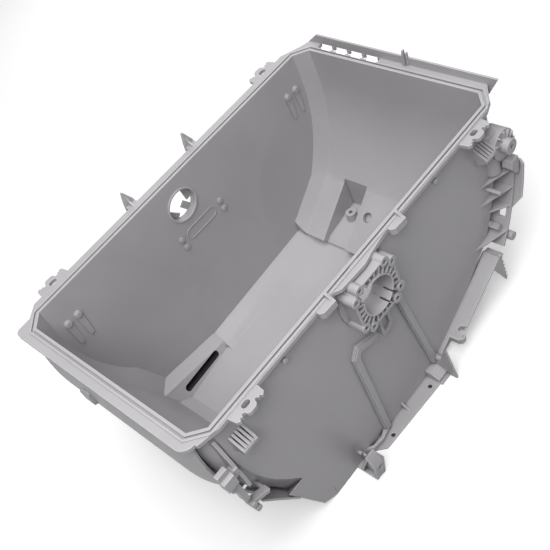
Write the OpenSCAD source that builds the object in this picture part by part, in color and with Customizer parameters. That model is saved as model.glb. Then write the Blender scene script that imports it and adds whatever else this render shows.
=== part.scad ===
// Lower half of the tub of a top-loading washing machine, one moulding in
// filled plastic. It is drawn from the middle of its mouth, in the plane of
// the rim: X across the machine, Y along it, Z up out of the mouth. The
// bearing hub is on the +X wall. The finished part has its origin on the
// drum's axis, at the outer face of that hub.

/* [Shell] */
// Width of the mouth between the two flat walls
mouth_w = 300; // [290:1:310]
// Length of the mouth between the two curved ends
mouth_l = 516; // [508:1:524]
// Thickness of every wall
wall = 3; // [2.6:0.1:3.6]
// Depth of the drum's axis below the rim
axis_drop = 44; // [42:1:46]
// Depth of the lowest point of the floor below the rim
sump_depth = 280; // [276:1:290]
// How far the floor rises from the sump to the step
floor_rise = 18; // [14:1:22]
// Slanted corner between flat wall and curved wall, across the machine
bend_w = 16; // [12:1:18]
// Slanted corner between flat wall and curved wall, along the machine
bend_l = 17; // [13:1:19]

/* [Rim] */
// Thickness of the rim flange
rim_t = 7; // [5:0.5:9]
// Width of the flange on the hub side
rim_near = 10; // [9:0.5:12]
// Width of the flange on the heater side
rim_far = 19; // [16:0.5:21]
// Width of the flange at the two ends
rim_end = 19; // [18:0.5:22]
// Width of the seal groove
groove_w = 3; // [2:0.25:3.5]
// Depth of the seal groove
groove_d = 3; // [1.5:0.25:3.5]
// Distance of the seal groove from the mouth
groove_in = 3.5; // [3:0.25:4]
// Height of the upright wall behind the rim
backwall_h = 12; // [8:1:18]

/* [Bearing hub] */
// Distance of the drum's axis from the middle of the mouth
axis_off = 12; // [8:1:13]
// Bore of the hub
bore_d = 46; // [42:0.5:48]
// How far the hub stands out from the wall
hub_h = 24; // [20:1:28]
// Radius of the ring of screw bosses
boss_ring_r = 38.5; // [38:0.5:41]
// Diameter of a screw boss
boss_d = 13; // [11:0.5:14]
// Screw hole in a boss
boss_hole_d = 5; // [3:0.25:6]
// Depth of the screw hole
boss_hole_depth = 16; // [8:1:18]
// Angle between the two bosses of a pair
boss_pair_angle = 21; // [20:1:23]
// Bore of the hole in the opposite wall
far_bore_d = 44; // [40:0.5:46]

/* [Heater seat] */
// Length of the slot for the heater
slot_l = 72; // [64:1:74]
// Height of the slot for the heater
slot_h = 10; // [8:0.5:11]

/* [Rails and brackets] */
// How far the rail stands out from the wall
rail_w = 25; // [22:1:28]
// Thickness of rails, fins and brackets
rib_t = 2.5; // [2:0.25:3]
// How far the fins of the side bracket stand out from the wall
bracket_w = 18; // [16:1:20]
// How far the clips on the rim reach out
ear_w = 14; // [11:1:16]
// Length of a clip along the rim
ear_l = 46; // [42:1:48]
// Distance of a clip's middle from the end of the mouth
ear_in = 57; // [55:1:60]
// Height of the raised beads on the hub's wall
bead_h = 6; // [4:0.5:7]

/* [Hidden] */
$fn = 48;
plastic = [0.64, 0.63, 0.64];

half_w = mouth_w / 2;
half_l = mouth_l / 2;
// radius of the curved wall, and of its line on the flat walls
wall_r = half_l;
face_r = wall_r - bend_l;
out_x = half_w + wall;
bottom_z = -sump_depth - wall;
hub_face = out_x + hub_h;
bore_r = bore_d / 2;
// depth below the rim of the line that the curved walls are drawn around
curve_drop = 42;
// depth that every outer feature sinks into its wall
root = 1;

// Side profile below the curved wall: slanted end of the sump, sloping
// floor, step, and the flat stretch that leads back to the curved wall
sump_top = [-half_l + 40, -178];
sump_foot = [-half_l + 76, -sump_depth + 10];
floor_start = -half_l + 95;
step_y = half_l - 125;
floor_end = -sump_depth + floor_rise;
step_top = floor_end + 14;
chord_angle = 35;
floor_slope = atan2(floor_rise, step_y - floor_start);
// slanted strips between floor and flat walls
strip_w = 32;
strip_h = 15;
far_strip_from = -half_l + 184;
near_strip_from = floor_start;

function floor_z(y) = -sump_depth + (y - floor_start) * tan(floor_slope);
function circle_z(r, y) = -curve_drop - sqrt(r * r - y * y);

// Mouth outline with its four slanted corners, grown by g
function mouth_points(g) = let (
    x = half_w + g,
    y = half_l + g,
    xi = half_w - bend_w + 0.41 * g,
    yi = half_l - bend_l + 0.41 * g)
  [[x, -yi], [x, yi], [xi, y], [-xi, y], [-x, yi], [-x, -yi], [-xi, -y], [xi, -y]];

function arc(c, r, a, b, n = 8) =
  [for (i = [0 : n]) c + r * [cos(a + (b - a) * i / n), sin(a + (b - a) * i / n)]];

// Outline drawn in (y, z) that stands at x0 and reaches t along X
module across(x0, t) {
  translate([x0, 0, 0]) rotate([90, 0, 90]) linear_extrude(t) children();
}

// Outline drawn in (x, z) that starts at y0 and reaches t along Y
module along(y0, t) {
  translate([0, y0 + t, 0]) rotate([90, 0, 0]) linear_extrude(t) children();
}

// Outline drawn in (x, depth) and carried up a slope from the point (y, z)
module up_slope(y, z, slope, length) {
  translate([0, y, z]) rotate([slope - 90, 0, 0]) linear_extrude(length) children();
}

module bar_x(y, z, r, x0, x1) {
  translate([x0, y, z]) rotate([0, 90, 0]) cylinder(r = r, h = x1 - x0);
}

module box(from, to) {
  translate(from) cube(to - from);
}

// Flat bar between two points of a (y, z) drawing
module strut(p, q, width) {
  d = q - p;
  translate(p) rotate(atan2(d.y, d.x)) translate([0, -width / 2]) square([norm(d), width]);
}

// Points at a distance d to the left of a line through points, with mitred corners
function unit(v) = v / norm(v);
function left_of(points, d) = let (last = len(points) - 1)
  [for (i = [0 : last]) let (
    before = unit(points[max(i, 1)] - points[max(i, 1) - 1]),
    after = unit(points[min(i + 1, last)] - points[min(i + 1, last) - 1]),
    middle = unit(before + after))
    points[i] + d / (middle * before) * [-middle.y, middle.x]];
function reversed(v) = [for (i = [len(v) - 1 : -1 : 0]) v[i]];
function ribbon(points, width) =
  concat(left_of(points, width / 2), reversed(left_of(points, -width / 2)));

// Raised bead that follows points of the hub's wall, with slanted sides
module bead(points, width) {
  across(out_x - root, bead_h - 1.5 + root) polygon(ribbon(points, width));
  across(out_x + 1, bead_h - 1) polygon(ribbon(points, width - 3));
}

// The space in the tub, and with g = wall the outside of its walls

barrel_floor = 80 - sump_depth;
chord_overlap = 55;

module barrel(g) {
  difference() {
    translate([0, 0, -curve_drop]) rotate([0, 90, 0])
      rotate_extrude($fn = 180)
        polygon([[0, -half_w - g], [face_r + 0.41 * g, -half_w - g],
          [wall_r + g, -half_w + bend_w - 0.41 * g],
          [wall_r + g, half_w - bend_w + 0.41 * g],
          [face_r + 0.41 * g, half_w + g], [0, half_w + g]]);
    box([-half_w - 50, -half_l - 50, -curve_drop], [half_w + 50, half_l + 50, half_l]);
    box([-half_w - 50, -half_l - 50, -2 * half_l],
      [half_w + 50, step_y + chord_overlap - 5, barrel_floor]);
  }
}

// What lies outside the flat stretch
module chord_block(g) {
  x = half_w + g;
  xi = half_w - bend_w + 0.41 * g;
  rise = -bend_w + 0.41 * g;
  difference() {
    up_slope(step_y, step_top, chord_angle, 2 * half_l)
      polygon([[-x - 20, half_l], [-x - 20, rise], [-x, rise], [-xi, g], [xi, g],
        [x, rise], [x + 20, rise], [x + 20, half_l]]);
    box([-half_w - 50, -half_l, -2 * half_l], [half_w + 50, step_y + g, 0]);
  }
}

module neck(g, top) {
  translate([0, 0, -curve_drop]) linear_extrude(curve_drop + top) polygon(mouth_points(g));
}

module sump(g) {
  past = step_y + chord_overlap + g;
  difference() {
    across(-half_w - g, mouth_w + 2 * g)
      polygon([sump_top + [18, 58], sump_top + [-3.6, 9.2] + g * [-1, -0.4],
        sump_foot + g * [-0.9, -0.4], [floor_start - 0.5 * g, -sump_depth - g],
        [step_y + g + 6, floor_z(step_y + 6) - g], [past, barrel_floor - 22 - g],
        [past, -150], [0, -150]]);
    floor_strip(g, -1, far_strip_from);
    floor_strip(g, 1, near_strip_from);
    end_corner(g, -1);
    // on the near side it stops at a slanted cut
    intersection() {
      end_corner(g, 1);
      along(-2 * half_l, 2 * half_l) polygon([[half_w - 30, cut_z(g, half_w - 30)],
        [half_w + 30, cut_z(g, half_w + 30)], [half_w + 30, 0], [half_w - 30, 0]]);
    }
  }
}

// Slanted corner between the slanted end and a flat wall
end_slope = atan2(sump_foot.y - sump_top.y, sump_foot.x - sump_top.x);
corner_above = 40;
corner_below = 104;
corner_depth = 21;
cut_slope = 1.17;
function cut_z(g, x) = sump_top.y - 16 - 1.54 * (wall - g) + cut_slope * (x - out_x);

module end_corner(g, side) {
  x = half_w + g;
  xi = half_w - bend_w - 0.6 + 0.41 * g;
  from = sump_top - corner_above * [cos(end_slope), sin(end_slope)];
  up_slope(from.x, from.y, end_slope, corner_above + corner_below)
    polygon([[side * (x + 1), g + 2], [side * (x + 1), -corner_depth + 0.41 * g],
      [side * x, -corner_depth + 0.41 * g], [side * xi, g], [side * xi, g + 2]]);
}

// Slanted strip along the foot of a flat wall
module floor_strip(g, side, from) {
  x = half_w + g;
  up_slope(from, floor_z(from), floor_slope, step_y - from + 20)
    polygon([[side * (x + 1), g + 1], [side * (x + 1), -strip_h + 0.4 * g],
      [side * x, -strip_h + 0.4 * g], [side * (half_w - strip_w + 0.2 * g), g],
      [side * (half_w - strip_w), g + 1]]);
}

module space(g, top = 0) {
  difference() {
    union() {
      barrel(g);
      neck(g, top);
      sump(g);
    }
    chord_block(g);
  }
}

// Heater seat: a ledge at the foot of the far wall, with a long slot
slot_y = -half_l + 131;
slot_z = -sump_depth + 12;
ledge_from = -half_l + 58;
ledge_to = ledge_from + 124;
ledge_front = half_w - 119;
ledge_tilt = 8;
ledge_base = -sump_depth + 10.3;

module ledge() {
  intersection() {
    translate([0, ledge_from, ledge_base]) rotate([-ledge_tilt, 0, 0])
      along(0, ledge_to - ledge_from)
        polygon([[-out_x, -40], [-half_w + ledge_front, -40], [-half_w + ledge_front, -6],
          [-half_w + 19, 22], [-half_w, 29], [-out_x, 29]]);
    sump(0.5);
  }
}

module slot(x0, x1, grow) {
  across(x0, x1 - x0) {
    translate([slot_y, slot_z])
      square([slot_l - slot_h, slot_h + 2 * grow], center = true);
    for (s = [-1, 1])
      translate([slot_y + s * (slot_l - slot_h) / 2, slot_z]) circle(d = slot_h + 2 * grow);
  }
}

// Drain pocket behind the step, with a ramp and a peg

pocket_x0 = -100;
pocket_x1 = -58;
pocket_back = half_l - 47;

module pocket(g) {
  across(pocket_x0 - g, pocket_x1 - pocket_x0 + 2 * g)
    polygon([[step_y - 1, floor_end - g], [step_y + 15 + 0.3 * g, floor_end + 11 - g],
      [pocket_back - 20, floor_end + 18 - g], [pocket_back + g, floor_end + 20 - g],
      [pocket_back + g, circle_z(wall_r, pocket_back)],
      [pocket_back - 21, circle_z(wall_r, pocket_back) + 6], [step_y - 1, step_top + 6]]);
}

module pocket_peg() {
  translate([-84, pocket_back - 24, floor_end + 16]) difference() {
    cylinder(r = 8, h = 14);
    translate([0, 0, 4]) cylinder(r = 3, h = 11);
  }
}

// round dimple in the flat stretch
module dimple(g) {
  translate([-40, step_y + 45, step_top + 45 * tan(chord_angle)]) rotate([chord_angle, 0, 0])
    translate([0, 0, -8 - g]) cylinder(r = 8 + g, h = 12 + g);
}

// Rim flange with its seal groove

module rim_plan() {
  polygon(concat(
    [[half_w + rim_near, -half_l + 22], [half_w + 3, -half_l - 4]],
    arc([half_w - 15, -half_l - rim_end + 15], 15, 0, -90),
    arc([-half_w + 2, -half_l - rim_end + 8], 8, -90, -180),
    [[-half_w - 6, -half_l + 5], [-half_w - rim_far, -half_l + 22],
      [-half_w - rim_far, half_l - 22], [-half_w - 7, half_l - 2]],
    arc([-half_w + 8, half_l + rim_end - 9], 9, 180, 90),
    arc([half_w - 20, half_l + rim_end - 9], 9, 90, 20),
    [[half_w + 4, half_l - 6], [half_w + rim_near, half_l - 22]]));
}

module rim() {
  difference() {
    translate([0, 0, -rim_t]) linear_extrude(rim_t) rim_plan();
    translate([0, 0, -groove_d]) linear_extrude(groove_d + 1) difference() {
      polygon(mouth_points(groove_in + groove_w));
      polygon(mouth_points(groove_in));
    }
    // the land outside the groove lies a little lower
    translate([0, 0, -1.5]) linear_extrude(3) difference() {
      offset_frame(60);
      polygon(mouth_points(groove_in + groove_w + 2.5));
    }
  }
  // fence that stands on the flange over the hub
  translate([0, 0, -rim_t]) linear_extrude(rim_t - 1.5)
    polygon([[half_w + 5, 38], [half_w + rim_near, 34], [half_w + rim_near + 3, 14],
      [half_w + rim_near + 7, -8], [half_w + rim_near + 5, -45], [half_w + 5, -60]]);
}

module offset_frame(d) {
  square([mouth_w + 2 * d, mouth_l + 2 * d], center = true);
}

// four through windows in the +Y flange
window_l = 17;
window_w = 10.5;
window_pitch = 26;

module windows() {
  for (i = [0 : 3])
    translate([-110.5 + i * window_pitch, half_l + 12, -rim_t])
      cube([window_l, window_w, 3 * rim_t], center = true);
  // the flange is thinner around them
  box([-124, half_l + 5, -rim_t - 1], [-20, half_l + rim_end - 2, -3]);
}

// upright wall behind the +Y flange, and its ribbed pin
module backwall() {
  y = half_l + rim_end - 1;
  along(y, rib_t)
    polygon([[-half_w, -rim_t], [-half_w - 1, -3], [-half_w + 18, backwall_h],
      [half_w - 1, backwall_h - 3], [half_w, backwall_h - 5], [half_w - 16, -18],
      [half_w - 26, -rim_t - 2]]);
  for (s = [-1, 0, 1])
    along(y - 4 + s * s * 2, 4)
      polygon([[16 + s * 4 - 1, -rim_t], [16 + s * 4 + 1, -rim_t],
        [19 + s * 2.5 + 1, 23 - s * s * 5], [19 + s * 2.5 - 1, 23 - s * s * 5]]);
}

// Clip on a long side of the rim: toothed plate with an oval hole
module ear(side, y) {
  base = side > 0 ? half_w + rim_near : half_w + rim_far;
  l = ear_l / 2;
  translate([0, y, 0]) mirror([side > 0 ? 0 : 1, 0, 0]) {
    difference() {
      translate([0, 0, -rim_t]) linear_extrude(rim_t - 2)
        polygon([[base - 4, -l], [base + ear_w - 3, -l + 2], [base + ear_w, -l + 6],
          [base + ear_w - 3, -l + 8], [base + ear_w - 2, -l + 11], [base + ear_w - 5, -l + 12],
          [base + ear_w - 4, -l + 15], [base + ear_w, -l + 16], [base + ear_w + 2, -l + 19],
          [base + ear_w + 2, l - 19], [base + ear_w, l - 16], [base + ear_w - 4, l - 15],
          [base + ear_w - 5, l - 12], [base + ear_w - 2, l - 11], [base + ear_w - 3, l - 8],
          [base + ear_w, l - 6], [base + ear_w - 3, l - 2], [base - 4, l]]);
      translate([base + ear_w / 2 - 2, 0, -rim_t - 1]) {
        for (s = [-2, 2]) translate([0, s, 0]) cylinder(d = 7, h = rim_t + 2);
        translate([-3.5, -2, 0]) cube([7, 4, rim_t + 2]);
      }
    }
  }
}

// Fan of ribs on a slanted plate, on a flat wall below the rim
module rib_fan(side, y, z) {
  tip = half_w + wall + 17;
  translate([0, y, z]) mirror([side > 0 ? 0 : 1, 0, 0]) {
    for (i = [-2 : 2])
      translate([0, i * 4.6, 0]) along(-1.4, 2.8)
        polygon([[half_w + 1, 0], [half_w + wall + 1, 0], [tip, -11], [tip, -16],
          [half_w + 1, -26]]);
    along(-10.5, 21)
      polygon([[half_w + 1, -13], [tip - 1, -12], [tip + 1, -12], [tip + 1, -16],
        [half_w + 1, -28]]);
  }
}

// Small wedge lug on the hub's side of the rim, with a pointed ridge over it
module near_lug(y) {
  base = half_w + rim_near;
  translate([0, y, 0]) {
    translate([0, 0, -rim_t - 3]) linear_extrude(rim_t + 2)
      polygon([[base - 4, -12], [base + 4, -12], [base + 8, -8], [base + 9, 10], [base - 4, 12]]);
    along(7.5, 3.5)
      polygon([[base - 8, -1.5], [base - 3, 5], [base + 8, -3], [base + 8, -rim_t],
        [base - 8, -rim_t]]);
  }
}

// Pointed lug on the other long side
module far_lug(y) {
  base = -half_w - rim_far;
  across(base - 9, 3)
    polygon([[y - 9, -rim_t - 3], [y + 9, -rim_t - 1], [y + 7, 2], [y - 1, 19], [y - 3, 19],
      [y - 7, 4]]);
  along(y - 2, 3) polygon([[base - 8, 15], [base - 3, 3], [base + 6, -2], [base + 6, -rim_t],
    [base - 8, -rim_t]]);
  box([base - 7, y - 8, -rim_t], [base + 2, y + 8, -2]);
}

// Bearing hub

boss_angles = [for (q = [45 : 90 : 315]) for (s = [-1, 1]) q + s * boss_pair_angle / 2];
hub_centre = [-axis_off, -axis_drop];
function boss_at(i) = hub_centre
  + boss_ring_r * [cos(boss_angles[i % 8]), sin(boss_angles[i % 8])];
hub_sleeve_r = bore_r + 2.2;
hub_wall = 6;
cell_depth = 7;
slit_depth = 13;
cell_rib = 2.4;
tongue_angle = -54;

module hub_body() {
  across(out_x - root, hub_h + root - 1) {
    polygon([for (i = [0 : 7]) boss_at(i)]);
    for (i = [0 : 7]) strut(boss_at(i), boss_at(i + 1), hub_wall);
  }
  for (i = [0 : 7]) bar_x(boss_at(i).x, boss_at(i).y, boss_d / 2, out_x - root, hub_face);
  bar_x(hub_centre.x, hub_centre.y, hub_sleeve_r, out_x - root, hub_face);
  // foot of the hub, a wider round pad
  bar_x(hub_centre.x, hub_centre.y, boss_ring_r + boss_d / 2 - 3, out_x - root, out_x + 4);
  // tie to the rim flange
  box([out_x - root, hub_centre.x - 30, -16], [out_x + 8, hub_centre.x + 30, -rim_t + 0.5]);
}

// cells between the sleeve and the outside, split by radial ribs
module hub_cells() {
  difference() {
    across(hub_face - 1 - cell_depth, cell_depth + 2) difference() {
      polygon([for (i = [0 : 7]) boss_at(i)]);
      translate(hub_centre) circle(r = hub_sleeve_r);
    }
    for (a = [7.5 : 15 : 352.5]) across(hub_face - 2 - cell_depth, cell_depth + 1)
      translate(hub_centre) rotate(a) translate([bore_r + 0.5, -cell_rib / 2])
        square([boss_ring_r, cell_rib]);
    for (i = [0 : 7])
      bar_x(boss_at(i).x, boss_at(i).y, boss_d / 2 - 0.5, out_x, hub_face);
  }
}

module hub_holes() {
  bar_x(hub_centre.x, hub_centre.y, bore_r, half_w - 5, hub_face + 1);
  for (i = [0 : 7])
    bar_x(boss_at(i).x, boss_at(i).y, boss_hole_d / 2, hub_face - boss_hole_depth,
      hub_face + 1);
  // two slits that free a tongue in the bore, and the wide gap across from it
  across(hub_face - slit_depth, slit_depth + 1) translate(hub_centre) rotate(tongue_angle)
    for (s = [-6, 6]) translate([bore_r - 3, s - 1]) square([8.5, 2]);
  across(hub_face - 1.5 * slit_depth, 2 * slit_depth) translate(hub_centre)
    rotate(tongue_angle - 171) translate([bore_r - 3, -9]) square([9, 18]);
}

// small hollow catch below the hub
module hub_catch() {
  difference() {
    across(out_x - root, 10 + root)
      polygon([[-17, -90], [-8, -90], [2, -99], [2, -118], [-4, -124], [-17, -124]]);
    across(out_x + 6, 20)
      polygon([[-13, -95], [-9, -95], [-2, -101], [-2, -116], [-6, -120], [-13, -120]]);
  }
}

// Far wall: bearing hole with its collar and snap tabs, and small raised marks

far_collar_back = -out_x - 7;

module far_collar_outside() {
  bar_x(hub_centre.x, hub_centre.y, far_bore_d / 2 + 4, far_collar_back, -half_w - root);
}

module far_collar_inside() {
  bar_x(hub_centre.x, hub_centre.y, far_bore_d / 2 + 2.5, -half_w - root, -half_w + 1.5);
}

module far_tabs() {
  tab_t = 2.2;
  // angle, width and reach of each tab
  for (tab = [[5, 19, 9], [-58, 10, 13], [-139, 19, 8]]) {
    across(far_collar_back - tab_t, tab_t) translate(hub_centre) rotate(tab[0])
      translate([far_bore_d / 2 - tab[2], -tab[1] / 2]) square([tab[2] + 1.5, tab[1]]);
    across(far_collar_back - tab_t, tab_t + 1) translate(hub_centre) rotate(tab[0])
      translate([far_bore_d / 2 + 0.7, -4]) square([1.8, 8]);
  }
}

module far_marks() {
  for (s = [-1, 1]) {
    for (i = [0, 1]) {
      bar_x(s * 38.5 + i, -86 - i * 15, 5, -half_w - root, -half_w + 1.2);
      bar_x(s * 38.5 + i, -86 - i * 15, 3.6, -half_w - root, -half_w + 2.4);
    }
    for (y = [half_l - 51, half_l - 34]) {
      bar_x(s * y, -45, 5.5, -half_w - root, -half_w + 2.4);
      bar_x(s * y, -45, 4, -half_w - root, -half_w + 3.6);
      across(-half_w - root, root + 1.6)
        polygon([[s * y - 5, -43], [s * y + 5, -43], [s * y + 3, -84], [s * y - 3, -84]]);
    }
  }
  // outline of a long oval
  across(-half_w - root, root + 1) difference() {
    long_oval(18);
    long_oval(15);
  }
}

module long_oval(width) {
  translate([-20, -90 - width / 2]) square([39, width]);
  for (y = [-20, 19]) translate([y, -90]) circle(d = width);
}

// Stiffening under the floor: two skirts in line with the flat walls and
// cross ribs between them
module under_floor() {
  top = -sump_depth + 20;
  for (x = [-half_w - wall, half_w])
    across(x, wall)
      polygon([[floor_start, bottom_z], [57, bottom_z], [step_y, floor_end - 1],
        [step_y, floor_end + 16], [floor_start, top]]);
  for (y = [-100, -40, 20])
    along(y, rib_t) polygon([[-half_w, bottom_z], [half_w, bottom_z],
      [half_w, floor_z(y)-wall + 1], [-half_w, floor_z(y) - wall + 1]]);
}

// Rail along the foot of the hub's wall
module rail() {
  x = out_x + rail_w;
  difference() {
    translate([0, 0, bottom_z]) linear_extrude(rib_t)
      polygon([[out_x - root, -96], [out_x + 5, -94], [x - 3, -78], [x, -70], [x, 44],
        [out_x - root, 58]]);
    for (y = [-64, 17])
      translate([out_x + 13, y, bottom_z - 1]) cylinder(d = 6, h = rib_t + 2);
  }
  // gusset halfway
  along(-26, rib_t) polygon([[out_x - root, bottom_z], [out_x + 13, bottom_z],
    [out_x - root, bottom_z + 13]]);
  // wedge where the second bead lands
  along(28, 24) polygon([[out_x - root, bottom_z], [x - 4, bottom_z], [x - 4, bottom_z + 7],
    [out_x + 8, bottom_z + 14], [out_x - root, bottom_z + 14]]);
  bar_x(50, bottom_z + 22, 4, out_x - root, out_x + 14);
  // curved tail between rail and lower bracket
  translate([0, 0, bottom_z]) linear_extrude(10)
    polygon([[out_x - root, -60], [out_x + 5, -60], [out_x + 9, -76], [out_x + 7, -92],
      [out_x - 3, -104], [out_x - 3, -100], [out_x + 4, -90], [out_x + 6, -76],
      [out_x - root, -64]]);
}

// Hollow hook at the -Y end of the rail, on a foot that stands out from the wall
module lower_bracket() {
  translate([0, 0, bottom_z]) linear_extrude(rib_t)
    polygon([[half_w, -123], [out_x + 31, -123], [out_x + 33, -108], [out_x + 20, -94],
      [half_w, -94]]);
  difference() {
    along(-123, 15) polygon([[out_x + 4, bottom_z], [out_x + 32, bottom_z],
      [out_x + 38, bottom_z + 30], [out_x + 36, bottom_z + 42], [out_x + 30, bottom_z + 55]]);
    along(-124, 6.5) polygon([[out_x + 10, bottom_z + rib_t], [out_x + 30, bottom_z + rib_t],
      [out_x + 34, bottom_z + 28], [out_x + 32, bottom_z + 40], [out_x + 29.5, bottom_z + 46]]);
    // notch in its outer face
    along(-117, 12) polygon([[out_x + 30, bottom_z + 22], [out_x + 40, bottom_z + 16],
      [out_x + 40, bottom_z + 33]]);
  }
  along(-110, rib_t) polygon([[half_w + 1, bottom_z], [out_x + 10, bottom_z],
    [out_x + 8, bottom_z + 16], [half_w + 1, bottom_z + 24]]);
  bar_x(-111, bottom_z + 22, 2.5, half_w + 1, out_x + 5);
}

// Slanted strip along the lower +Y edge of the hub's wall
strip_a = [57, -sump_depth + 12];
strip_b = [half_l - 71, -sump_depth + 77];

module side_strip() {
  x = out_x + rail_w - 3;
  d = strip_b - strip_a;
  across(out_x - root, x - out_x + root) strut(strip_a, strip_b, rib_t);
  // the wall's edge below the strip
  across(half_w, wall) polygon([strip_a, strip_b,
    [strip_b.x + 7, circle_z(wall_r, strip_b.x + 7)], [step_y, floor_end - 2],
    [57, bottom_z], [50, bottom_z]]);
  // hanging corner plate at the upper end
  across(x - rib_t, rib_t)
    polygon([[strip_b.x - 15, strip_b.y - 8], strip_b + [4, 2],
      for (i = [0 : 5]) each [strip_b + [5.5 + i / 2, -5 - i * 8],
        strip_b + [3.5 + i / 2, -9 - i * 8]], strip_b + [5, -51]]);
  across(out_x - root, x - out_x + root) strut(strip_b, strip_b + [8, -2], rib_t);
  // end plate at the lower end, down to the rail
  along(strip_a.x - 12, rib_t)
    polygon([[out_x - root, bottom_z], [out_x + 36, bottom_z], [out_x + 35, bottom_z + 8],
      [out_x + 30, bottom_z + 57], [out_x + 26, bottom_z + 53], [out_x + 12, bottom_z + 21],
      [out_x - root, bottom_z + 17]]);
  // hook on the outer edge
  for (p = [[80, bottom_z + 41, 0], [92, bottom_z + 36, 1]])
    across(x - 6, 4) translate([p.x, p.y]) difference() {
      circle(r = 7);
      circle(r = 4.5);
      translate([p.z > 0 ? 0 : -8, -8]) square([8, 16]);
    }
  across(x - 6, 4) strut([66, bottom_z + 47], [82, bottom_z + 34], rib_t + 1.5);
}

// Side bracket at the +Y edge of the hub's wall: flange that carries on the
// curved wall, fins, pegs, and a boss on a round plate
flange_r = wall_r + wall;
boss_c = [half_l - 15, -57];
foot_c = [0, -curve_drop] + (flange_r + 8) * [cos(35), -sin(35)];
fins = [[-103, 48], [-129, 48], [-153, 23], [-184, 48]];

module side_bracket() {
  x = out_x + bracket_w;
  // flange
  across(out_x - 15, bracket_w + 15) difference() {
    polygon(concat(arc([0, -curve_drop], flange_r + 0.5, -13, -38, 12),
      arc([0, -curve_drop], flange_r - 3, -38, -13, 12)));
  }
  // outer curved plate
  intersection() {
    across(x - 10, 28)
      polygon(concat(arc([0, -curve_drop], flange_r + 3, -7, -32, 8),
        arc([0, -curve_drop], flange_r + 0.2, -32, -7, 8)));
    along(half_l - 58, 80) polygon([[x - 11, -92], [x + 6, -92], [x + 11, -97], [x + 11, -143],
      [x, -158], [x - 11, -158]]);
  }
  // fins
  for (f = fins) {
    tip = sqrt(pow(wall_r, 2) - pow(f[0] + curve_drop, 2));
    translate([0, 0, f[0] - rib_t / 2]) linear_extrude(rib_t)
      polygon([[out_x - root, tip - f[1]], [out_x, tip - f[1] + 2], [x, tip + 1],
        [out_x - 12, tip + 1]]);
  }
  // pegs
  bar_x(half_l - 42, -114, 3, out_x - root, out_x + 20);
  bar_x(half_l - 49, -172, 4.5, out_x - root, out_x + 13);
  // round plate and boss
  bar_x(boss_c.x, boss_c.y, 20, half_w - 4, out_x + 16);
  bar_x(boss_c.x, boss_c.y, 10, out_x - root, out_x + 27);
  for (a = [-10 : 32 : 150])
    across(out_x + 15, 4) translate(boss_c) rotate(a) translate([5, -1]) square([14, 2]);
  // block between boss and flange
  across(out_x + 11, bracket_w - 4)
    polygon([boss_c + [-5, -35], boss_c + [3, -49], boss_c + [9, -49], boss_c + [11, -25],
      boss_c + [-2, -25]]);
  // smooth cheek that leads down from the plate
  translate([out_x - 3, boss_c.x - 7, -101]) cylinder(r = 12.5, h = 65);
  // foot
  bar_x(foot_c.x, foot_c.y, 6, out_x + 2, x + 5);
  across(out_x - 8, 12)
    strut([0, -curve_drop] + (flange_r - 4) * [cos(36), -sin(36)], foot_c, 11);
}

module side_bracket_holes() {
  bar_x(boss_c.x, boss_c.y, 3, out_x + 10, out_x + 28);
  // gap in the flange
  box([out_x + 2, half_l - 58, -171], [out_x + 12, half_l, -157]);
}

// Bracket on the -Y edge of the hub's wall: fin, block, boss, clip and hook
module corner_bracket() {
  rib_low = sump_top + [half_l, 0] + 0.42 * (sump_foot - sump_top) + [-3, 0];
  translate([0, -half_l, 0]) {
    // fin that widens downwards
    along(9, rib_t + 1.5) polygon([[out_x - root - 12, -19], [out_x, -19],
      [out_x + 4, -34], [out_x + 15, -88], [out_x + 15, -96], [out_x - root - 12, -100]]);
    // stepped block
    box([out_x + 7, -12, -64], [out_x + 13, 2, -46]);
    box([out_x + 7, -12, -70], [out_x + 19, 3, -54]);
    box([out_x + 3, 0, -72], [out_x + 12, 12, -60]);
    for (p = [[-2, -72, 3], [-5, -80, 4]])
      bar_x(p.x, p.y, p.z, out_x - 2, out_x + 14);
    across(out_x + 3, 11) strut([-1, -66], [0, -112], 7);
    across(out_x + 3, 6) strut([0, -110], [2, -128], 4);
    // hook
    across(out_x + 3, 9) strut([4, -127], [25, -136], 5.5);
    bar_x(2, -128, 4, out_x + 2, out_x + 14);
    bar_x(4, -139, 4, out_x + 2, out_x + 14);
    across(out_x + 3, 9) strut([2, -128], [4, -139], 3);
    bar_x(23, -135.5, 2.7, half_w - 14, out_x + 11);
    // long rib down the slanted end
    across(half_w - 24, 28) strut([15, -156], rib_low, rib_t);
    across(half_w - 24, rib_t) polygon([[15, -156], rib_low, rib_low + [8, 20], [33, -156]]);
  }
}

// Curved panel that stands off the -Y wall, with ribs behind it and a catch on it
panel_r = wall_r + rim_end;
panel_low = -148;

module panel_ring(r, reach) {
  translate([0, 0, -curve_drop]) rotate([0, 90, 0])
    rotate_extrude($fn = 180)
      polygon([[0, -reach], [r - 12 * (reach - 108) / 42, -reach], [r, -108], [r, 108],
        [r - 12 * (reach - 108) / 42, reach], [0, reach]]);
}

module end_panel() {
  intersection() {
    difference() {
      panel_ring(panel_r, half_w - 7);
      panel_ring(panel_r - wall, half_w + 10);
    }
    box([-half_w - 9, -2 * half_l, panel_low], [half_w + 9, 0, -rim_t + 1]);
  }
  difference() {
    intersection() {
      for (x = [-128, -84, -42, 0, 42, 84, 128])
        box([x - 1.2, -2 * half_l, panel_low + 3], [x + 1.2, 0, -rim_t + 1]);
      panel_ring(panel_r - 1, half_w + 10);
    }
    space(wall - 0.6);
  }
  across(-52, 17) translate([-panel_r, -36])
    polygon([[8, 0], [-2, -2], [-4, -6], [-4, -21], [10, -26]]);
}

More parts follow.
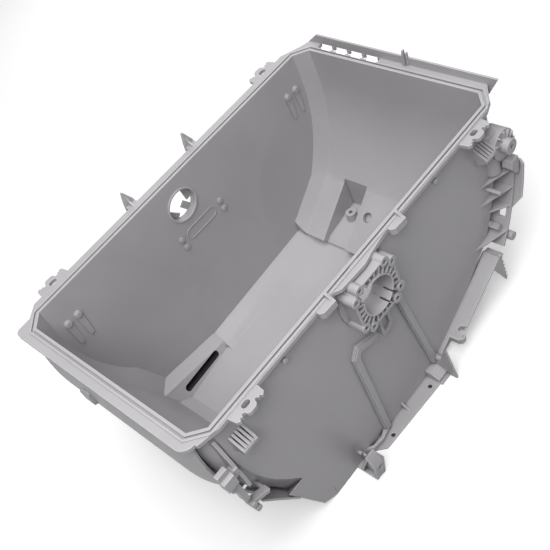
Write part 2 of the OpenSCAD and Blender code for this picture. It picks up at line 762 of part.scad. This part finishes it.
// Plain stiffening on the hidden sides: ribs round the +Y wall and beads on the far wall
module hidden_ribs() {
  difference() {
    intersection() {
      for (x = [-118, -20, 40, 100]) bar_x(0, -curve_drop, wall_r + wall + 6, x, x + 2.5);
      box([-half_w, 0, -186], [half_w, 2 * half_l, -rim_t + 1]);
    }
    space(wall - 0.6);
  }
  for (points = [[[-58, -84], [-66, bottom_z + 31]], [[40, -84], [52, bottom_z + 35]]])
    across(-out_x - 5, 5 + root) polygon(ribbon(points, 10));
}

module outside() {
  space(wall);
  rim();
  backwall();
  for (side = [-1, 1]) for (s = [-1, 1]) {
    ear(side, s * (half_l - ear_in));
    rib_fan(side, s * (half_l - ear_in + (s > 0 ? 15 : 21.5)), s > 0 ? -38 : -33);
  }
  for (y = [-70, 54]) near_lug(y);
  for (y = [-62, 52]) far_lug(y);
  for (y = [-138, 131]) bar_x(y, -16, 3, out_x - root, out_x + 6);
  hub_body();
  hub_catch();
  far_collar_outside();
  slot(-out_x - 14, -half_w + 2, 7);
  pocket(wall);
  dimple(wall);
  under_floor();
  rail();
  lower_bracket();
  side_strip();
  side_bracket();
  corner_bracket();
  end_panel();
  hidden_ribs();
  bead([[-24, -120], [-52, -110], [-60, -120], [-60, bottom_z + 7]], 11);
  bead([[26, -100], [39, -205], [48, bottom_z + 6]], 10.5);
}

module tub() {
  difference() {
    union() {
      difference() {
        outside();
        space(0, 30);
        pocket(0);
        dimple(0);
        hub_cells();
      }
      ledge();
      intersection() {
        pocket_peg();
        pocket(1);
      }
      far_collar_inside();
      far_marks();
    }
    hub_holes();
    side_bracket_holes();
    slot(-out_x - 18, -half_w + 40, 0);
    windows();
    bar_x(hub_centre.x, hub_centre.y, far_bore_d / 2, -out_x - 12, -half_w + 5);
  }
  far_tabs();
}

module tub_half() {
  color(plastic) translate([-hub_face, axis_off, axis_drop]) tub();
}

tub_half();
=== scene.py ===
import math

import bmesh
import bpy
from mathutils import Matrix, Vector


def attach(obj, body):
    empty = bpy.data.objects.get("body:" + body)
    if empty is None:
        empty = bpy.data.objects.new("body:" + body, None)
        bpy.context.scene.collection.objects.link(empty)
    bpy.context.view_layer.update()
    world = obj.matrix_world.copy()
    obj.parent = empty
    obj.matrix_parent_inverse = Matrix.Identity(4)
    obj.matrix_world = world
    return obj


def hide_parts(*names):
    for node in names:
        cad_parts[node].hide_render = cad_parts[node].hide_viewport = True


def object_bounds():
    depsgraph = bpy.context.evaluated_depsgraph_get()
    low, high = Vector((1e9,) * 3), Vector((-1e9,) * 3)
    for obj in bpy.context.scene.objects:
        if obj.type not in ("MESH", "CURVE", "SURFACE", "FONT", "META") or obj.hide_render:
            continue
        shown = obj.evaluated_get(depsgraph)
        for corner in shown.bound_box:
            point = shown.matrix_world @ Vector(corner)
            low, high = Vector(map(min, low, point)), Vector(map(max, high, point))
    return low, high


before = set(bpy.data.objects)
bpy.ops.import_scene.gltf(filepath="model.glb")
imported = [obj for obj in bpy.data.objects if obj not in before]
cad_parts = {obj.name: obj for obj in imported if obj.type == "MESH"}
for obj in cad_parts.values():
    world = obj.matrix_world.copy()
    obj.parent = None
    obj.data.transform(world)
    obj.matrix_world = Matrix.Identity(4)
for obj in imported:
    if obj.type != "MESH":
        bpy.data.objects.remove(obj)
cadLow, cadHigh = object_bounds()
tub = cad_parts["tub_half"]
print("frame loaded")


def addObject(name, data):
    thing = bpy.data.objects.new(name, data)
    bpy.context.scene.collection.objects.link(thing)
    return thing


cameraSet = {
    "place": (0.4870, -0.3590, 0.7190),
    "right": (0.710, 0.626, -0.324),   # where the picture's right side points
    "ahead": (-0.615, 0.326, -0.718),
    "lens": 57.14, "sensor": 36,       # mm
    "nearest": 0.01, "farthest": 50,   # what it sees, in m
}


def makeCamera(values):
    ahead = Vector(values["ahead"]).normalized()
    right = Vector(values["right"])
    right = (right - ahead * right.dot(ahead)).normalized()
    up = right.cross(ahead)
    turn = Matrix((right, up, -ahead)).transposed()
    data = bpy.data.cameras.new("camera")
    data.lens, data.sensor_width = values["lens"], values["sensor"]
    data.clip_start, data.clip_end = values["nearest"], values["farthest"]
    camera = addObject("camera", data)
    camera.matrix_world = Matrix.Translation(values["place"]) @ turn.to_4x4()
    bpy.context.scene.camera = camera


makeCamera(cameraSet)
print("camera placed")

studio = {
    "floorTone": (0.80, 0.80, 0.805), "floorGlow": 0.29, "floorRoughness": 0.9,
    "floorReach": 6,          # m from the middle to each edge
    "worldLevel": 0.08,
    "aim": (-0.18, 0.0, -0.1),
    "lamps": {                # place, size and power of each soft lamp
        "top": ((0.00, 0.05, 1.85), 1.4, 22.5),
        "back": ((-1.20, 0.90, 0.62), 1.6, 9),
        "front": ((0.50, -0.72, 1.35), 1.0, 20.5),
        "side": ((1.60, -0.20, 0.30), 0.9, 4.0),
    },
}


def makeLamp(name, place, size, power, aim):
    data = bpy.data.lights.new(name, "AREA")
    data.shape, data.size, data.energy = "DISK", size, power
    lamp = addObject(name, data)
    lamp.location = place
    lamp.rotation_euler = (Vector(aim) - Vector(place)).to_track_quat("-Z", "Y").to_euler()


def makeFloor(values):
    reach, height = values["floorReach"], cadLow.z
    mesh = bpy.data.meshes.new("floor")
    mesh.from_pydata([(-reach, -reach, height), (reach, -reach, height),
                      (reach, reach, height), (-reach, reach, height)], [], [(0, 1, 2, 3)])
    floor = addObject("floor", mesh)
    material = bpy.data.materials.new("floorPaint")
    material.use_nodes = True
    shader = material.node_tree.nodes["Principled BSDF"]
    shader.inputs["Base Color"].default_value = (*values["floorTone"], 1)
    shader.inputs["Roughness"].default_value = values["floorRoughness"]
    shader.inputs["Emission Color"].default_value = (1, 1, 1, 1)
    shader.inputs["Emission Strength"].default_value = values["floorGlow"]
    mesh.materials.append(material)
    floor.visible_diffuse = False        # the paint throws no light back up the walls


def makeStudio(values):
    makeFloor(values)
    world = bpy.data.worlds.new("studio")
    bpy.context.scene.world = world
    world.use_nodes = True
    around = world.node_tree.nodes["Background"]
    around.inputs["Color"].default_value = (1, 1, 1, 1)
    around.inputs["Strength"].default_value = values["worldLevel"]
    for name, (place, size, power) in values["lamps"].items():
        makeLamp(name, place, size, power, values["aim"])
    bpy.context.scene.view_settings.view_transform = "Standard"


makeStudio(studio)
print("studio lit")


def feed(tree, socket, value):
    if isinstance(value, bpy.types.NodeSocket):
        tree.links.new(value, socket)
    elif isinstance(value, tuple):
        socket.default_value = (*value, 1)
    else:
        socket.default_value = value


def mathStep(tree, operation, first, second=None):
    node = tree.nodes.new("ShaderNodeMath")
    node.operation = operation
    feed(tree, node.inputs[0], first)
    if second is not None:
        feed(tree, node.inputs[1], second)
    return node.outputs["Value"]


def spread(tree, value, low, high, lowResult=0.0, highResult=1.0):
    node = tree.nodes.new("ShaderNodeMapRange")
    for name, setting in (("Value", value), ("From Min", low), ("From Max", high),
                          ("To Min", lowResult), ("To Max", highResult)):
        feed(tree, node.inputs[name], setting)
    return node.outputs["Result"]


def blendTones(tree, factor, first, second):
    node = tree.nodes.new("ShaderNodeMix")
    node.data_type = "RGBA"
    factorSocket, firstSocket, secondSocket = (node.inputs[index] for index in (0, 6, 7))
    feed(tree, factorSocket, factor)
    feed(tree, firstSocket, first)
    feed(tree, secondSocket, second)
    return node.outputs[2]


def noise(tree, place, scale, detail=2, swirl=0):
    node = tree.nodes.new("ShaderNodeTexNoise")
    node.inputs["Scale"].default_value = scale
    node.inputs["Detail"].default_value = detail
    node.inputs["Distortion"].default_value = swirl
    tree.links.new(place, node.inputs["Vector"])
    return node.outputs["Fac"]


def roundedNormal(tree, radius, samples):
    node = tree.nodes.new("ShaderNodeBevel")
    node.samples = samples
    node.inputs["Radius"].default_value = radius
    return node.outputs["Normal"]


def splitPlace(tree, place):
    node = tree.nodes.new("ShaderNodeSeparateXYZ")
    tree.links.new(place, node.inputs["Vector"])
    return [node.outputs[axis] for axis in "XYZ"]


mouldedGrey = {
    "tone": (0.425, 0.412, 0.428),
    "flowTone": (0.400, 0.388, 0.404),   # faint flow marks of the melt
    "flowScale": 9, "flowDetail": 5, "flowSwirl": 1.2, "flowBlend": (0.35, 0.65),
    "roughness": (0.39, 0.52),           # follows the flow marks too
    "grain": 0.00004, "grainScale": 900, "grainStrength": 0.5,    # the skin's fine grain
    "edge": 0.0009, "edgeSamples": 8,    # radius that edges shade with
    "edgeHighlightTone": (0.72, 0.71, 0.72),       # painted highlight: edges are painted pale
    "edgeHighlightWidth": 0.0017, "edgeHighlightSamples": 6, "edgeHighlightTurn": (0.97, 0.80),
    "edgeHighlightOpen": (0.70, 0.95), "edgeHighlightMost": 0.8,     # only edges that stand out get the painted highlight
    "paintedShadeReach": 0.006, "paintedShadeSamples": 8,    # painted shade that darkens corners
    "paintedShadeOpen": (0.20, 0.80), "paintedShadeTone": 0.42,
    "rimHeights": (-0.013, -0.007), "rimPaintedShadeTone": 0.85,    # the painted shade is weaker in the rim's groove
    "slotMiddle": (-0.115, -0.224),      # y and z of the heater's slot, where painted shade makes it dark inside
    "slotStraight": 0.031, "slotRound": 0.0051, "slotFront": -0.28, "slotShadeTone": 0.05,
}


# mask of the heater's slot, which gets painted shade
def insideSlot(tree, place, values):
    def step(operation, first, second=None):
        return mathStep(tree, operation, first, second)

    x, y, z = splitPlace(tree, place)
    middleY, middleZ = values["slotMiddle"]
    along = step("ABSOLUTE", step("SUBTRACT", y, middleY))
    beyond = step("MAXIMUM", step("SUBTRACT", along, values["slotStraight"]), 0.0)
    across = step("SUBTRACT", z, middleZ)
    reach = step("SQRT", step("ADD", step("MULTIPLY", beyond, beyond),
                              step("MULTIPLY", across, across)))
    return step("MULTIPLY", step("LESS_THAN", reach, values["slotRound"]),
                step("LESS_THAN", x, values["slotFront"]))


# ambient occlusion, which paints shade into corners and keeps the painted highlight off them
def openness(tree, values):
    node = tree.nodes.new("ShaderNodeAmbientOcclusion")
    node.samples = values["paintedShadeSamples"]
    node.only_local = True
    node.inputs["Distance"].default_value = values["paintedShadeReach"]
    return node.outputs["AO"]


# painted highlight: a pale tone where the rounded normal turns away from the true normal and
# the corner is open
def paintedEdgeHighlight(tree, free, values):
    turn = tree.nodes.new("ShaderNodeVectorMath")
    turn.operation = "DOT_PRODUCT"
    tree.links.new(roundedNormal(tree, values["edgeHighlightWidth"], values["edgeHighlightSamples"]),
                   turn.inputs[0])
    tree.links.new(tree.nodes.new("ShaderNodeNewGeometry").outputs["True Normal"],
                   turn.inputs[1])
    return mathStep(tree, "MULTIPLY",
                    spread(tree, turn.outputs["Value"], *values["edgeHighlightTurn"]),
                    spread(tree, free, *values["edgeHighlightOpen"], 0.0, values["edgeHighlightMost"]))


# painted shade: darker in corners, less so in the rim's groove, and nearly black inside the
# heater's slot
def shadeInside(tree, place, free, values):
    height = splitPlace(tree, place)[2]
    paintedShadeTone = spread(tree, height, *values["rimHeights"],
                        values["paintedShadeTone"], values["rimPaintedShadeTone"])
    return mathStep(tree, "MULTIPLY",
                    spread(tree, free, *values["paintedShadeOpen"], paintedShadeTone, 1.0),
                    spread(tree, insideSlot(tree, place, values), 0.0, 1.0, 1.0,
                           values["slotShadeTone"]))


def makePlastic(name, values):
    material = bpy.data.materials.new(name)
    material.use_nodes = True
    tree = material.node_tree
    nodes, links = tree.nodes, tree.links
    shader = nodes["Principled BSDF"]
    place = nodes.new("ShaderNodeTexCoord").outputs["Object"]

    flow = noise(tree, place, values["flowScale"], values["flowDetail"], values["flowSwirl"])
    free = openness(tree, values)
    tone = blendTones(tree, spread(tree, flow, *values["flowBlend"]),
                      values["flowTone"], values["tone"])
    # painted highlight on the edges
    tone = blendTones(tree, paintedEdgeHighlight(tree, free, values), tone, values["edgeHighlightTone"])
    # the painted shade scales the tone
    shaded = nodes.new("ShaderNodeVectorMath")
    shaded.operation = "SCALE"
    links.new(tone, shaded.inputs["Vector"])
    links.new(shadeInside(tree, place, free, values), shaded.inputs["Scale"])
    links.new(shaded.outputs["Vector"], shader.inputs["Base Color"])
    links.new(spread(tree, flow, 0.0, 1.0, *values["roughness"]), shader.inputs["Roughness"])

    bump = nodes.new("ShaderNodeBump")
    bump.inputs["Strength"].default_value = values["grainStrength"]
    bump.inputs["Distance"].default_value = values["grain"]
    links.new(noise(tree, place, values["grainScale"]), bump.inputs["Height"])
    links.new(roundedNormal(tree, values["edge"], values["edgeSamples"]),
              bump.inputs["Normal"])
    links.new(bump.outputs["Normal"], shader.inputs["Normal"])
    return material


plastic = makePlastic("mouldedGrey", mouldedGrey)
print("plastic mixed")

mouth = Vector((-0.177, 0.012, 0.044))       # middle of the mouth, in the rim's plane
mmPerMetre = 1000


# a prism between two places on an axis, in mm from the middle of the mouth:
# x towards the hub, y along the mouth, z up
def block(name, axis, outline, start, end, lift=None):
    order = {"x": (2, 0, 1), "z": (0, 1, 2)}[axis]
    shape = bmesh.new()
    rings = []
    for level in (start, end):
        ring = []
        for point in outline:
            values = (*point, level)
            place = Vector([values[index] for index in order])
            if lift:
                place.z += lift(place)
            ring.append(shape.verts.new(place / mmPerMetre + mouth))
        rings.append(ring)
    first, last = rings
    shape.faces.new(first)
    shape.faces.new(last)
    for index, corner in enumerate(first):
        after = (index + 1) % len(outline)
        shape.faces.new((corner, first[after], last[after], last[index]))
    bmesh.ops.recalc_face_normals(shape, faces=shape.faces)
    mesh = bpy.data.meshes.new(name)
    shape.to_mesh(mesh)
    shape.free()
    return addObject(name, mesh)


def applyModifiers(piece):
    whole = piece.evaluated_get(bpy.context.evaluated_depsgraph_get())
    mesh = bpy.data.meshes.new_from_object(whole)
    piece.modifiers.clear()
    piece.data = mesh


def carve(source, name, cutters, mergeWithin):
    piece = addObject(name, source.data.copy())
    shape = bmesh.new()
    shape.from_mesh(piece.data)
    bmesh.ops.remove_doubles(shape, verts=shape.verts, dist=mergeWithin)
    shape.to_mesh(piece.data)
    shape.free()
    for cutter in cutters:
        cut = piece.modifiers.new("cut", "BOOLEAN")
        cut.operation, cut.solver, cut.object = "DIFFERENCE", "EXACT", cutter
    applyModifiers(piece)
    if piece.data.has_custom_normals:        # they belong to the uncut mesh
        piece.data.attributes.remove(piece.data.attributes["custom_normal"])
    for cutter in cutters:
        bpy.data.objects.remove(cutter)
    return piece


def dress(piece, material, smoothUnder=None):
    mesh = piece.data
    mesh.materials.clear()
    mesh.materials.append(material)
    if smoothUnder:
        mesh.shade_smooth()
        mesh.set_sharp_from_angle(angle=math.radians(smoothUnder))
    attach(piece, "root")


trims = {
    "cuts": (                 # axis, outline across it, start and end along it
        # side strip below its hook
        ("z", [(159, 54.5), (159, 80.9), (172, 81.2), (176.2, 83.5), (178, 87),
               (195, 87), (195, 54.5)], -300, -200),
        # the hook's notch
        ("z", [(195, 89.2), (175.5, 89.2), (168.7, 89.4), (164.9, 91.4), (164.0, 94.5),
               (166.3, 97.2), (170, 98.3), (195, 98.6)], -300, -200),
        # top of the strip
        ("x", [(55, -267.6), (103, -243.6), (103, -225), (55, -249)], 160.3, 200),
        # edge of the drilled plate
        ("z", [(174.8, 27.4), (171, -76), (169.5, -90), (200, -100), (200, 27.4)],
         -292, -270),
    ),
    "windows": 4, "windowStart": -114.5, "windowPitch": 26,
    "windowLeft": 11.5, "windowRight": 7.0,
    "windowSplay": 3,         # further left at the back, where the flange ends
    "windowEnds": (264.9, 280), "windowHeights": (-16, -1.3),
    "mergeWithin": 2e-7,      # m
    "smoothUnder": 26,        # degrees
}


def trimTub(values):
    cutters = [block("cutter", *cut) for cut in values["cuts"]]
    front, back = values["windowEnds"]
    for index in range(values["windows"]):
        middle = values["windowStart"] + index * values["windowPitch"]
        left, right = middle - values["windowLeft"], middle + values["windowRight"]
        outline = [(left, front), (right, front), (right, back),
                   (left - values["windowSplay"], back)]
        cutters.append(block("cutter", "z", outline, *values["windowHeights"]))
    shell = carve(tub, "tubShell", cutters, values["mergeWithin"])
    dress(shell, plastic, values["smoothUnder"])
    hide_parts("tub_half")
    return shell


shell = trimTub(trims)
print("tub trimmed", len(shell.data.polygons))

hook = {
    "underside": [(157, 80.2), (172, 80.6), (176.6, 82.9), (178.6, 86.8), (177.3, 90.2),
                  (175.2, 89.3), (176.2, 86.9), (174.8, 84.2), (171.4, 82.2), (157, 81.8)],
    "throat": [(171, 99.2), (165.5, 98.0), (162.8, 94.6), (163.8, 90.8), (167.8, 88.4),
               (174.6, 88.3), (174.6, 89.6), (168.6, 89.9), (165.4, 91.8), (164.6, 94.4),
               (166.7, 96.9), (171, 97.9)],
    "stripFoot": (57, -268), "stripRise": 0.5,     # the strip that it hangs from
    "under": 7, "above": 1.5,
}


def makeHook(values):
    footY, footZ = values["stripFoot"]

    def alongStrip(place):
        return (place.y - footY) * values["stripRise"]

    for name in ("underside", "throat"):
        dress(block("hook" + name.capitalize(), "z", values[name],
                    footZ - values["under"], footZ + values["above"], alongStrip), plastic)


makeHook(hook)
print("hook's lips made")

tongue = {
    "axis": (-12, -44), "angle": -54,       # the bore's axis, and the tongue's turn round it
    "reach": (21.6, 23.6), "halfWidth": 4.7, "chamfer": 0.8,
    "ends": (153.5, 175.6),
}


def makeTongue(values):
    angle = math.radians(values["angle"])
    out = Vector((math.cos(angle), math.sin(angle)))
    side = Vector((-math.sin(angle), math.cos(angle)))
    low, high = values["reach"]
    half, chamfer = values["halfWidth"], values["chamfer"]
    corners = ((low, -half + chamfer), (low, half - chamfer), (low + chamfer, half),
               (high, half), (high, -half), (low + chamfer, -half))
    axis = Vector(values["axis"])
    outline = [tuple(axis + out * reach + side * across) for reach, across in corners]
    dress(block("boreTongue", "x", outline, *values["ends"]), plastic)


makeTongue(tongue)
print("bore's tongue made")

# painted shade: near-black discs that close the bottoms of the strip's two holes
holeShadeDiscs = {
    "places": ((166, 17), (166, -64)), "radius": 2.95, "heights": (-282.9, -281.7),
    "corners": 24,
    "tone": (0.02, 0.02, 0.022), "speckPaler": 2.2, "speckScale": 1200, "roughness": 0.7,
}


# near-black speckled paint for the painted shade discs
def makeHoleShadePaint(name, values):
    shadePaint = bpy.data.materials.new(name)
    shadePaint.use_nodes = True
    tree = shadePaint.node_tree
    shader = tree.nodes["Principled BSDF"]
    shader.inputs["Roughness"].default_value = values["roughness"]
    place = tree.nodes.new("ShaderNodeTexCoord").outputs["Object"]
    pale = tuple(values["speckPaler"] * part for part in values["tone"])
    tree.links.new(blendTones(tree, noise(tree, place, values["speckScale"]),
                              values["tone"], pale), shader.inputs["Base Color"])
    return shadePaint


def makeHoleShadeDiscs(values):
    shadePaint = makeHoleShadePaint("holeShadeBlack", values)
    radius, corners = values["radius"], values["corners"]
    angles = [2 * math.pi * step / corners for step in range(corners)]
    for number, (x, y) in enumerate(values["places"], 1):
        outline = [(x + radius * math.cos(angle), y + radius * math.sin(angle))
                   for angle in angles]
        dress(block(f"shadeDisc{number}", "z", outline, *values["heights"]), shadePaint)


makeHoleShadeDiscs(holeShadeDiscs)
print("shadeDiscs made")

pinMarks = {                     # where the mould's ejector pins pressed, on the back wall
    "Columns": 6, "Rows": 2, "Length": 0.300, "Height": 0.105,
    "Radius": 0.0042, "Depth": 0.0012, "Sides": 28,
    "Place": (-0.3298, 0.012, -0.100), "Turn": (0, math.radians(-90), 0),
}


def growPinMarks(names, material):
    tree = bpy.data.node_groups.new("pinMarks", "GeometryNodeTree")
    nodes, links = tree.nodes, tree.links
    kinds = {"Columns": "Int", "Rows": "Int", "Sides": "Int", "Place": "Vector",
             "Turn": "Rotation"}
    sockets = {}
    for name in names:
        kind = "NodeSocket" + kinds.get(name, "Float")
        sockets[name] = tree.interface.new_socket(name=name, in_out="INPUT",
                                                  socket_type=kind)
    tree.interface.new_socket(name="Geometry", in_out="OUTPUT",
                              socket_type="NodeSocketGeometry")
    start, end = nodes.new("NodeGroupInput"), nodes.new("NodeGroupOutput")
    grid = nodes.new("GeometryNodeMeshGrid")
    disc = nodes.new("GeometryNodeMeshCylinder")
    copies = nodes.new("GeometryNodeInstanceOnPoints")
    real = nodes.new("GeometryNodeRealizeInstances")
    move = nodes.new("GeometryNodeTransform")
    paint = nodes.new("GeometryNodeSetMaterial")
    paint.inputs["Material"].default_value = material
    for name, node, socket in (("Columns", grid, "Vertices Y"), ("Rows", grid, "Vertices X"),
                               ("Length", grid, "Size Y"), ("Height", grid, "Size X"),
                               ("Radius", disc, "Radius"), ("Depth", disc, "Depth"),
                               ("Sides", disc, "Vertices"),
                               ("Place", move, "Translation"), ("Turn", move, "Rotation")):
        links.new(start.outputs[name], node.inputs[socket])
    links.new(grid.outputs["Mesh"], copies.inputs["Points"])
    links.new(disc.outputs["Mesh"], copies.inputs["Instance"])
    links.new(copies.outputs["Instances"], real.inputs["Geometry"])
    for before, after in ((real, move), (move, paint), (paint, end)):
        links.new(before.outputs["Geometry"], after.inputs["Geometry"])
    return tree, sockets


def makePinMarks(values, material):
    tree, sockets = growPinMarks(values, material)
    piece = addObject("pinMarks", bpy.data.meshes.new("pinMarks"))
    growth = piece.modifiers.new("pinMarks", "NODES")
    growth.node_group = tree
    for name, socket in sockets.items():
        growth[socket.identifier] = values[name]
    applyModifiers(piece)
    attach(piece, "root")


makePinMarks(pinMarks, plastic)
print("pin marks made")
